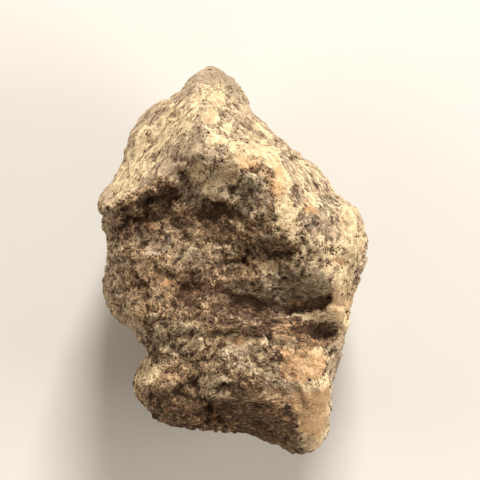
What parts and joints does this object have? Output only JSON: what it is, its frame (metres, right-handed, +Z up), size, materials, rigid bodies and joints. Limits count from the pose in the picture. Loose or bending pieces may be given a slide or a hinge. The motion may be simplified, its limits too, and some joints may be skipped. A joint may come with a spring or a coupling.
{
  "type": "chondrite meteorite",
  "caption": "Small weathered chondrite stone, broken on all sides, with a brow, a scoop and ledges across its upper face and a flat side to rest on.",
  "frame": {"origin": "under the middle of the stone's box, on the surface it rests on", "axes": "+Z up, out of the ridged upper face; +Y along the stone's length, towards its knob; +X to the right seen from above"},
  "size_m": [0.0274, 0.0398, 0.0194],
  "materials": {
    "chondrite": "weathered, matt, speckled brown-grey with cream and rust patches"
  },
  "bodies": {
    "root": {"stone": "chondrite"}
  },
  "joints": []
}
